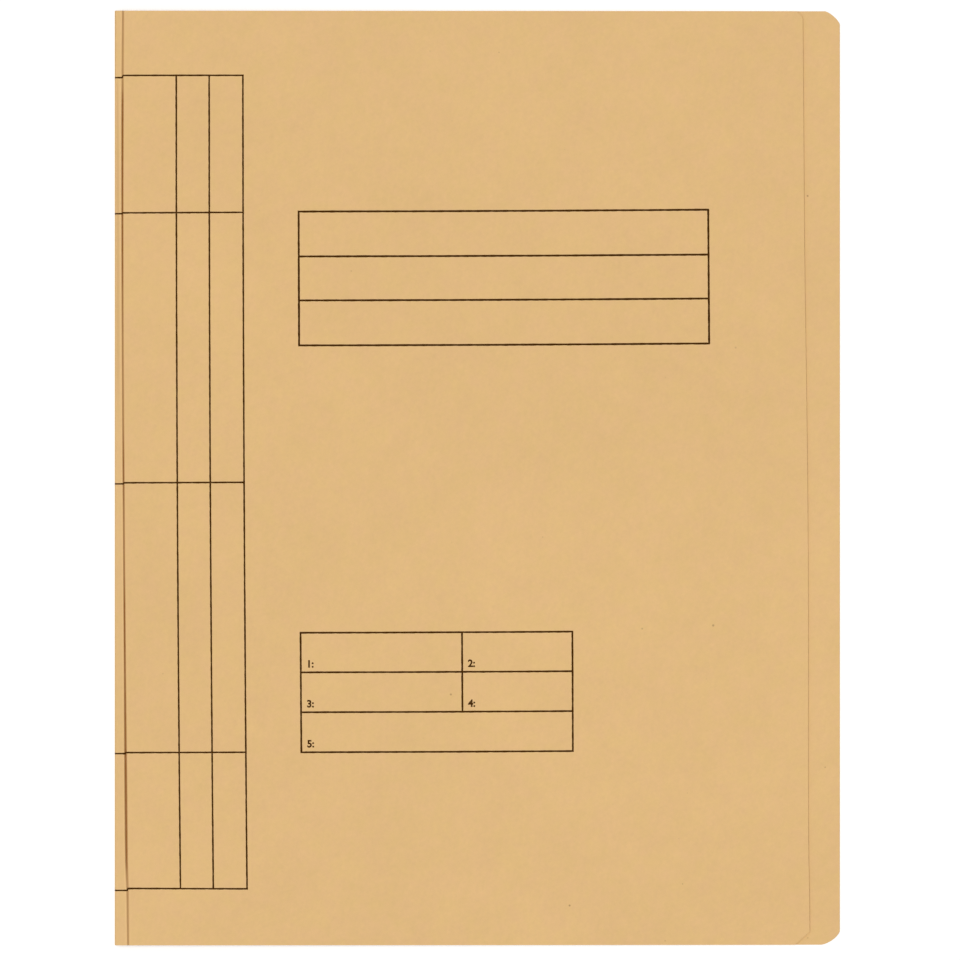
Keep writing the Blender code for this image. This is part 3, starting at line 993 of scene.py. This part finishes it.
class CARDFILE_OT_back_card(bpy.types.Operator):
    """Build the back cover with the rounded crease and the lower half of the spine wall"""

    bl_idname = "cardfile.back_card"
    bl_label = "Back Card"
    bl_options = {"REGISTER", "UNDO"}

    def execute(self, context):
        sizes, colours = settings(context)
        rows, inset = rounded_rows(BACK_FOOT_CORNER, BACK_HEAD_CORNER, 5 * MM)
        bend_x, bend_z = back_profile(sizes)
        flat = np.linspace(0, 1, 40)[:-1]
        edge_x = FREE_EDGE_X - inset[:, None]
        flat_x = edge_x + (bend_x[0] - edge_x) * flat
        x = np.concatenate([flat_x, np.broadcast_to(bend_x, (len(rows), len(bend_x)))], axis=1)
        z = np.concatenate([np.full(len(flat), BACK_Z), bend_z])
        creased = np.broadcast_to(crease_wear_and_shade(len(flat), 4), x.shape)
        shape = surface(x, rows[:, None], z, DOWN)
        # Painted shade along the crease, partly pressed card
        pressed = BACK_CREASE_SHADE * creased
        piece = make_card("back_card", shape, card_of(colours), pressed, BACK_RUBBED * creased)
        blend_over_back_crease(piece)
        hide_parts("back_cover")
        return {"FINISHED"}


class CARDFILE_OT_spine_card(bpy.types.Operator):
    """Build the upper half of the spine wall, its rounded edge and the strip beside the score"""

    bl_idname = "cardfile.spine_card"
    bl_label = "Spine Card"
    bl_options = {"REGISTER", "UNDO"}

    def execute(self, context):
        sizes, colours = settings(context)
        y = np.linspace(-HALF_HEIGHT, HALF_HEIGHT, 80)[:, None]
        bend_x, bend_z = spine_profile(sizes)
        flat_x = bend_x[-1] + (plan_x(-COVER_SEAM, y) - bend_x[-1]) * np.linspace(0, 1, 9)[1:]
        x = np.concatenate([np.broadcast_to(bend_x, (len(y), len(bend_x))), flat_x], axis=1)
        z = np.append(bend_z, np.full(8, TOP_Z))
        creased = np.broadcast_to(crease_wear_and_shade(4, 8), x.shape)
        # Painted shade: along the edge crease, partly pressed card and more beyond the table, and a streak
        # beside the table
        beyond_table = smooth_step(y, -JOG_Y, 3 * MM)
        beside_table = smooth_step(y, STREAK_FOOT_Y, 12 * MM) * (1 - beyond_table)
        streak = bell((x - STREAK_X) / STREAK_REACH) * beside_table * (z > TOP_Z - CARD)
        pressed = (EDGE_CREASE_SHADE + EDGE_HEAD_SHADE * beyond_table) * creased + STREAK_SHADE * streak
        shape = surface(x, y, z, (-1, 0, 1))
        piece = make_card("spine_card", shape, card_of(colours), pressed, EDGE_RUBBED * creased)
        blend_over_edge_crease(piece)
        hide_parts("spine_panel", "hinge_panel")
        return {"FINISHED"}


class CARDFILE_OT_front_card(bpy.types.Operator):
    """Build the front cover with the groove of the score"""

    bl_idname = "cardfile.front_card"
    bl_label = "Front Card"
    bl_options = {"REGISTER", "UNDO"}

    def execute(self, context):
        sizes, colours = settings(context)
        rows, inset = rounded_rows(FRONT_FOOT_CORNER, FRONT_HEAD_CORNER, 4 * MM)
        half = score_half_width(sizes, rows)[:, None]
        middle = score_middle(rows)[:, None]
        bulge = FREE_EDGE_LOW * smooth_step(rows, JOG_Y, 4 * MM)
        bulge += FREE_EDGE_BULGE * bell((rows - BULGE_Y) / BULGE_REACH)
        edge = (sizes.front_width + bulge - inset)[:, None]
        left = -COVER_SEAM + (middle - half + COVER_SEAM) * np.linspace(0, 1, 6)[:-1]
        groove = middle + half * np.linspace(-1, 1, 17)
        rim = middle + half * RIM_LINES
        wide = rim[:, -1:] + (edge - rim[:, -1:]) * np.linspace(0, 1, 45)[1:]
        across = np.concatenate([left, groove, rim, wide], axis=1)
        y = np.broadcast_to(rows[:, None], across.shape)
        x = plan_x(across, y)
        off_middle = (across - middle) / half
        # Painted shade in the groove, partly pressed card
        pressed = score_tone(y) * bell(off_middle) ** GROOVE_TONE_POWER
        # Paler rims beside the groove: painted highlights, partly rubbed card
        rims = (share * np.exp(-(((off_middle - place) / reach) ** 2)) for share, place, reach in RUBBED_AND_HIGHLIGHT_RIMS)
        shape = surface(x, y, cover_z(sizes, x, y), UP)
        piece = make_card("front_card", shape, card_of(colours), pressed, sum(rims))
        blend_over_score(piece)
        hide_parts("front_cover")
        return {"FINISHED"}


class CARDFILE_OT_printed_rules(bpy.types.Operator):
    """Print the table beside the spine and the two boxes on the cover"""

    bl_idname = "cardfile.printed_rules"
    bl_label = "Printed Rules"
    bl_options = {"REGISTER", "UNDO"}

    def execute(self, context):
        sizes, colours = settings(context)
        ink = material_of("printing_ink", lay_ink, colours)
        self.print_columns(sizes, ink)
        self.print_rows(sizes, ink)
        self.print_spine(sizes, ink)
        self.print_back(sizes, ink)
        return {"FINISHED"}

    def print_columns(self, sizes, ink):
        """The upright rules. The middle one of the date box ends a row early."""
        columns = [(x, TABLE_ROWS[0], TABLE_ROWS[-1]) for x in TABLE_COLUMNS]
        columns += [(x, TITLE_BOX_ROWS[0], TITLE_BOX_ROWS[-1]) for x in TITLE_BOX_SIDES]
        columns += [(x, DATE_BOX_ROWS[0], DATE_BOX_ROWS[-1]) for x in DATE_BOX_SIDES[::2]]
        columns += [(DATE_BOX_SIDES[1], DATE_BOX_ROWS[0], DATE_BOX_ROWS[2])]
        paths = [straight_rule(sizes, (x, head), (x, foot)) for x, head, foot in columns]
        weights = [TABLE_WEIGHT] * 3 + [TITLE_WEIGHT] * 2 + [DATE_WEIGHT] * 3
        shape = ribbons_on_cover(sizes, paths, weights, 1)
        piece = make_print("printed_columns", shape, ink, sizes.ink_height)
        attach(piece, "front")

    def print_rows(self, sizes, ink):
        """The level rules. They stand a little higher than the upright ones, which they cross."""
        height = LEVEL_RISE * sizes.ink_height
        over = sizes.rule_width / 2
        rows = [(TITLE_BOX_SIDES, y) for y in TITLE_BOX_ROWS] + [(DATE_BOX_SIDES, y) for y in DATE_BOX_ROWS]
        paths = [straight_rule(sizes, (sides[0] - over, y), (sides[-1] + over, y)) for sides, y in rows]
        shape = ribbons_on_cover(sizes, paths, [TITLE_WEIGHT] * 4 + [DATE_WEIGHT] * 4, 21)
        piece = make_print("printed_rows", shape, ink, height)
        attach(piece, "front")
        heights = zip(TABLE_ROWS, ROW_STARTS, ROW_ENDS, STRIP_ROWS)
        paths = [crossing_rule(sizes, *row) for row in heights]
        shape = ribbons_on_cover(sizes, paths, [TABLE_WEIGHT] * 5, 41)
        piece = make_print("printed_table_rows", shape, ink, height)
        blend_over_score(piece)

    def print_spine(self, sizes, ink):
        """The table's rows carry on over the strip beside the score, up to its seam, and the spine."""
        across, up = spine_profile(sizes)
        fold_x = across[-1]
        seam_x = plan_x(-COVER_SEAM, 0)
        across = np.append(across, np.linspace(fold_x, seam_x, 5)[1:])
        points, faces = ribbons_on_profile(sizes, across, np.append(up, np.full(4, TOP_Z)), (-1, 0, 1))
        reach = np.clip((points[:, 0] - fold_x) / (seam_x - fold_x), 0, 1)
        points[:, 0] += reach * (plan_x(-COVER_SEAM, points[:, 1]) - seam_x)
        piece = make_print("printed_spine_rows", (points, faces), ink, sizes.ink_height)
        blend_over_edge_crease(piece)

    def print_back(self, sizes, ink):
        """The rows go on round the back crease and end under the back cover, at a rule."""
        bend_x, bend_z = back_profile(sizes)
        end_x = CREASE_X + BACK_TABLE_REACH
        level_x = np.linspace(end_x, bend_x[0], 12)[:-1]
        across = np.append(level_x, bend_x)
        up = np.append(np.full(len(level_x), BACK_Z), bend_z)
        shape = ribbons_on_profile(sizes, across, up, (-1, 0, -1))
        piece = make_print("printed_back_rows", shape, ink, sizes.ink_height)
        blend_over_back_crease(piece)
        y = np.linspace(STRIP_ROWS[0], STRIP_ROWS[-1], 278)
        x, y = ribbon(np.stack([np.full(len(y), end_x), y], axis=1), sizes.rule_width, 61)
        shape = surface(x, y, BACK_Z, DOWN)
        piece = make_print("printed_back_rule", shape, ink, LEVEL_RISE * sizes.ink_height)
        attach(piece, "back")


class CARDFILE_OT_numerals(bpy.types.Operator):
    """Print a plain numeral in each cell of the lower box"""

    bl_idname = "cardfile.numerals"
    bl_label = "Numerals"
    bl_options = {"REGISTER", "UNDO"}

    def execute(self, context):
        sizes, colours = settings(context)
        ink = material_of("printing_ink", lay_ink, colours)
        left, middle, _ = DATE_BOX_SIDES
        cells = ((left, 1), (middle, 1), (left, 2), (middle, 2), (left, 3))
        for number, (cell_x, row) in enumerate(cells, start=1):
            mesh = self.numeral_mesh(context, sizes, number)
            points = np.empty(len(mesh.vertices) * 3)
            mesh.vertices.foreach_get("co", points)
            points = points.reshape(-1, 3)
            x = cell_x + NUMERAL_INSET[0] + points[:, 0]
            y = DATE_BOX_ROWS[row] + NUMERAL_INSET[1] + points[:, 1]
            x, y = on_print(sizes, x, y)
            lift = CARD / 4 + NUMERAL_RISE * sizes.ink_height
            points = np.stack([x, y, cover_z(sizes, x, y) + points[:, 2] + lift], axis=-1)
            mesh.vertices.foreach_set("co", points.ravel())
            mesh.update()
            mesh.materials.clear()
            mesh.materials.append(ink)
            piece = bpy.data.objects.new(f"printed_numeral_{number}", mesh)
            context.scene.collection.objects.link(piece)
            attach(piece, "front")
        return {"FINISHED"}

    def numeral_mesh(self, context, sizes, number):
        """A numeral and a colon as a flat solid about z = 0, half a card thick, from its own origin."""
        text = bpy.data.curves.new(f"numeral_{number}", "FONT")
        text.body = f"{number}:"
        text.size = sizes.numeral_height / FIGURE_SHARE
        text.offset = NUMERAL_WEIGHT
        text.extrude = CARD / 4
        shape = bpy.data.objects.new("numeral_shape", text)
        context.scene.collection.objects.link(shape)
        context.view_layer.update()
        mesh = bpy.data.meshes.new_from_object(shape.evaluated_get(context.evaluated_depsgraph_get()))
        bpy.data.objects.remove(shape)
        return mesh


class CARDFILE_OT_binding_strip(bpy.types.Operator):
    """Build the card strip that carries the fastener"""

    bl_idname = "cardfile.binding_strip"
    bl_label = "Binding Strip"
    bl_options = {"REGISTER", "UNDO"}

    def execute(self, context):
        _, colours = settings(context)

        def hole(x, y):
            """Signed distance from the edge of a round hole about nothing."""
            return np.hypot(x, y) - STRIP_HOLE

        def crease(x):
            """A bell over the crease along each side."""
            return bell((np.abs(x) - STRIP_CREASE_X) / STRIP_CREASE_REACH)

        def height(x, y):
            """Level, with a shallow crease along each side."""
            return STRIP.middle[2] - STRIP_CREASE_DEPTH * crease(x)

        half_width = STRIP.half[0]
        half_length = STRIP.high[1]
        points, faces = holed_plate(half_width, half_length, STRIP_CORNER, hole, [], STRIP_SEAM_Y, 41, height)
        creased = crease(points[:, 0])
        points[:, 0] += PRONG_X
        card = material_of("strip_card", lay_card, colours, colours.strip)
        materials = [card, material_of("cut_card_edge", lay_cut_edge, colours)]
        # The card is darker along its creases
        pressed = STRIP_CREASE_DARKNESS * creased
        shape = (points, faces)
        piece = make_card("binding_strip_card", shape, materials, pressed, 0 * creased, STRIP.thickness)
        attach(piece, "back")
        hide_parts("binding_strip")
        return {"FINISHED"}


class CARDFILE_OT_prong_steel(bpy.types.Operator):
    """Build the steel band, bent up at both ends, and its two tongues"""

    bl_idname = "cardfile.prong_steel"
    bl_label = "Prong Steel"
    bl_options = {"REGISTER", "UNDO"}

    def execute(self, context):
        _, colours = settings(context)
        metal = steel_of(colours)
        columns = TONGUE.half[0] * np.linspace(-1, 1, 7)
        joint_z = TONGUE.middle[2] - TONGUE_BEND
        self.build_band(metal, columns, joint_z)
        self.build_tongues(metal, columns, joint_z)
        return {"FINISHED"}

    def build_band(self, metal, columns, joint_z):
        """Half of it runs level from the middle and round a bend up to a tongue. The rest mirrors it."""
        base_z = BAND.low[2] + TONGUE.thickness / 2
        bend_start = PRONG_Y - TONGUE_BEND
        bend_y, bend_z = quarter_bend(TONGUE_BEND, 0)
        level_y = np.linspace(0, bend_start, 40)[:-1]
        half_y = np.concatenate([level_y, bend_start + bend_y[::-1], [PRONG_Y]])
        half_z = np.concatenate([0 * level_y + base_z, base_z + TONGUE_BEND + bend_z[::-1], [joint_z]])
        path_y = np.append(-half_y[:0:-1], half_y)[:, None]
        path_z = np.append(half_z[:0:-1], half_z)[:, None]
        shape = surface(PRONG_X + columns, path_y, path_z, UP)
        band = make_sheet("prong_band", shape, metal, TONGUE.thickness, SHEET_EDGE)
        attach(band, "back")
        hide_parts("prong_base")

    def build_tongues(self, metal, columns, joint_z):
        """Each goes on from the band round a bend and lies down towards the middle, with a half round tip."""
        tongue_z = TONGUE.middle[2]
        bend_start = PRONG_Y - TONGUE_BEND
        bend_y, bend_z = quarter_bend(TONGUE_BEND, 90)
        tip_angle = np.linspace(0, math.pi / 2, 12)[1:]
        tip_start = TONGUE.low[1] + TONGUE.half[0]
        level_y = np.linspace(bend_start, tip_start, 20)[1:]
        tip_y = tip_start - TONGUE.half[0] * np.sin(tip_angle)
        path_y = np.concatenate([bend_start + bend_y[::-1], level_y, tip_y])[:, None]
        path_z = np.append(joint_z + bend_z[::-1], np.full(len(level_y) + len(tip_y), tongue_z))[:, None]
        full = np.ones(len(path_y) - len(tip_y))
        width = np.append(full, np.maximum(np.cos(tip_angle), TIP_SHARE))[:, None]
        for end, side in (("top", 1), ("bottom", -1)):
            shape = surface(PRONG_X + columns * width, side * path_y, path_z, UP)
            tongue = make_sheet(f"prong_tongue_{end}", shape, metal, TONGUE.thickness, SHEET_EDGE)
            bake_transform(tongue)
            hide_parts(f"prong_{end}")


class CARDFILE_OT_eyelets(bpy.types.Operator):
    """Build the two rolled eyelets of the card strip"""

    bl_idname = "cardfile.eyelets"
    bl_label = "Eyelets"
    bl_options = {"REGISTER", "UNDO"}

    def execute(self, context):
        _, colours = settings(context)
        metal = material_of("nickel_plate", lay_metal, tuple(colours.nickel), 0.24, 5000.0)
        profile = self.wall_profile()
        turn = np.linspace(0, 2 * math.pi, 65)[:-1, None]
        for end, side in (("top", 1), ("bottom", -1)):
            x = PRONG_X + profile[:, 0] * np.cos(turn)
            y = side * PRONG_Y + profile[:, 0] * np.sin(turn)
            shape = surface(x, y, profile[:, 1], wrap_rows=True, wrap_columns=True)
            piece = make_piece(f"rolled_eyelet_{end}", shape, [metal])
            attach(piece, "back")
            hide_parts(f"eyelet_{end}")
        return {"FINISHED"}

    def wall_profile(self):
        """Closed section of the wall: half its thickness to each side of a line up the barrel and the roll.

        The roll is nine tenths of half an ellipse.
        """
        low_z = EYELET.low[2] + WALL / 2
        roll_z = EYELET.high[2] - WALL / 2 - EYELET_ROLL
        roll_across = (EYELET.half[0] - WALL / 2 - EYELET_BARREL) / 2
        roll = np.linspace(math.pi, 0.1 * math.pi, 18)
        radius = np.append(np.full(5, EYELET_BARREL), EYELET_BARREL + roll_across * (1 + np.cos(roll)))
        up = np.append(np.linspace(low_z, roll_z, 6)[:-1], roll_z + EYELET_ROLL * np.sin(roll))
        line = np.stack([radius, up], axis=1)
        side = left_of(line) * WALL / 2
        return np.concatenate([line + side, (line - side)[::-1]])


class CARDFILE_OT_pressing_bar(bpy.types.Operator):
    """Build the slotted bar that presses the sheets down"""

    bl_idname = "cardfile.pressing_bar"
    bl_label = "Pressing Bar"
    bl_options = {"REGISTER", "UNDO"}

    def execute(self, context):
        sizes, colours = settings(context)

        def slot(x, y):
            """Signed distance from the edge of a slot about nothing."""
            return rounded_box_distance(x, y, *BAR_SLOT)

        def height(x, y):
            """A bead along the middle that fades out before the slots, and a shallow dish at each slot."""
            fade = smooth_step(-np.abs(y), -BAR_BEAD_END, BAR_SOFTNESS)
            bead = sizes.bar_bead * bell(x / BAR_BEAD_REACH) * fade
            dish = BAR_DISH * np.exp(-(slot(x, np.abs(y) - PRONG_Y) / BAR_SOFTNESS) ** 2)
            return BAR.middle[2] + bead - dish

        half_width = BAR.half[0]
        bends = corner_angles(*BAR_SLOT)
        points, faces = holed_plate(half_width, BAR.high[1], half_width, slot, bends, BAR_SEAM_Y, 29, height)
        points[:, 0] += PRONG_X
        metal = steel_of(colours)
        piece = make_sheet("pressing_bar", (points, faces), metal, BAR.thickness, BAR_EDGE)
        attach(piece, "back")
        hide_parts("compressor_bar")
        return {"FINISHED"}


class CARDFILE_OT_sliders(bpy.types.Operator):
    """Build the two sliders that wrap the bar"""

    bl_idname = "cardfile.sliders"
    bl_label = "Sliders"
    bl_options = {"REGISTER", "UNDO"}

    def execute(self, context):
        sizes, colours = settings(context)
        section_x, section_z = self.section()
        along = np.linspace(-SLIDER.half[1], SLIDER.half[1], 43)[:, None]
        top_z = SLIDER.high[2] - WALL / 2
        on_top = np.clip(1 - (np.abs(section_x) / GRIP_HALF_LENGTH) ** 6, 0, 1)
        on_top = on_top * (section_z > top_z - SLIDER_BEND / 2)
        grooves = sum(bell((along - place) / GRIP_REACH) for place in GRIP_PLACES)
        z = section_z - sizes.slider_groove * grooves * on_top
        for end, side in (("top", 1), ("bottom", -1)):
            shape = surface(PRONG_X + section_x, side * SLIDER.middle[1] + along, z, UP)
            piece = make_sheet(f"bar_slider_{end}", shape, steel_of(colours), WALL, SLIDER_EDGE)
            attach(piece, f"lock_{end}")
            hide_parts(f"slider_{end}")
        return {"FINISHED"}

    def section(self):
        """Middle of the wall across a slider, from one lip round the bar to the other lip."""
        side_x = SLIDER.half[0] - WALL / 2 - SLIDER_BEND
        low_z = SLIDER.low[2] + WALL / 2
        high_z = SLIDER.high[2] - WALL / 2
        low_x, low_up = quarter_bend(SLIDER_BEND, 270, 7)
        high_x, high_up = quarter_bend(SLIDER_BEND, 180, 7)
        lip_x = np.linspace(-SLIDER_LIP_X, -side_x, 4)[:-1]
        left_x = np.concatenate([lip_x, low_x - side_x, high_x - side_x])
        bends_z = (low_z + SLIDER_BEND + low_up, high_z - SLIDER_BEND + high_up)
        left_z = np.concatenate([np.full(3, low_z), *bends_z])
        top_x = np.linspace(-side_x, side_x, 18)[1:-1]
        section_x = np.concatenate([left_x, top_x, -left_x[::-1]])
        return section_x, np.concatenate([left_z, np.full(len(top_x), high_z), left_z[::-1]])


class CARDFILE_OT_stage(bpy.types.Operator):
    """Set the pale floor, the soft light and the camera straight above"""

    bl_idname = "cardfile.stage"
    bl_label = "Stage"
    bl_options = {"REGISTER", "UNDO"}

    def execute(self, context):
        _, colours = settings(context)
        side = np.linspace(-FLOOR_HALF_SIDE, FLOOR_HALF_SIDE, 9)
        material = material_of("pale_floor", lay_floor, colours)
        floor = make_piece("floor", surface(side, side[:, None], FLOOR_Z, UP), [material])
        self.light_scene(context.scene)
        self.set_camera(context.scene)
        context.scene.view_settings.view_transform = "Standard"
        return {"FINISHED"}

    def light_scene(self, scene):
        """An even dome of light and one soft lamp from beyond the spine."""
        world = bpy.data.worlds.new("studio")
        scene.world = world
        world.use_nodes = True
        tree = world.node_tree
        background = tree.nodes["Background"]
        background.inputs["Color"].default_value = (1, 1, 1, 1)
        feed(tree, background, Strength=between(tree, seen_share(tree), 0.0, 1.0, DOME_LIGHT, 1.0))
        lamp = bpy.data.lights.new("soft_lamp", "SUN")
        lamp.energy = LAMP_ENERGY
        lamp.angle = LAMP_ANGLE
        holder = bpy.data.objects.new("soft_lamp", lamp)
        holder.rotation_euler = Vector(LAMP_DIRECTION).to_track_quat("-Z", "Y").to_euler()
        scene.collection.objects.link(holder)

    def set_camera(self, scene):
        """Straight above the file, far off with a long lens."""
        data = bpy.data.cameras.new("camera")
        data.lens = LENS
        data.sensor_width = SENSOR
        data.clip_start = 0.01
        data.clip_end = 20
        camera = bpy.data.objects.new("camera", data)
        camera.location = (*PICTURE_CENTRE, PICTURE_PLANE_Z + PICTURE_WIDTH * LENS / SENSOR)
        scene.collection.objects.link(camera)
        scene.camera = camera


STEPS = (
    CARDFILE_OT_back_card,
    CARDFILE_OT_spine_card,
    CARDFILE_OT_front_card,
    CARDFILE_OT_printed_rules,
    CARDFILE_OT_numerals,
    CARDFILE_OT_binding_strip,
    CARDFILE_OT_prong_steel,
    CARDFILE_OT_eyelets,
    CARDFILE_OT_pressing_bar,
    CARDFILE_OT_sliders,
    CARDFILE_OT_stage,
)


class CARDFILE_PT_panel(bpy.types.Panel):
    """Sizes, colours and building steps of the card file"""

    bl_idname = "CARDFILE_PT_panel"
    bl_label = "Card File"
    bl_space_type = "VIEW_3D"
    bl_region_type = "UI"
    bl_category = "Card File"

    def draw(self, context):
        for title, group in zip(("Sizes", "Colours"), settings(context)):
            box = self.layout.box()
            box.label(text=title)
            for name in group.__annotations__:
                box.prop(group, name)
        for step in STEPS:
            self.layout.operator(step.bl_idname)


CLASSES = (CardFileSizes, CardFileColours, *STEPS, CARDFILE_PT_panel)


def register():
    for cls in CLASSES:
        bpy.utils.register_class(cls)
    bpy.types.Scene.card_file_sizes = bpy.props.PointerProperty(type=CardFileSizes)
    bpy.types.Scene.card_file_colours = bpy.props.PointerProperty(type=CardFileColours)


def unregister():
    del bpy.types.Scene.card_file_colours
    del bpy.types.Scene.card_file_sizes
    for cls in reversed(CLASSES):
        bpy.utils.unregister_class(cls)


def main():
    """Registers the add-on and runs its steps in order."""
    register()
    for step in STEPS:
        category, name = step.bl_idname.split(".")
        getattr(getattr(bpy.ops, category), name)()


if __name__ == "__main__":
    main()
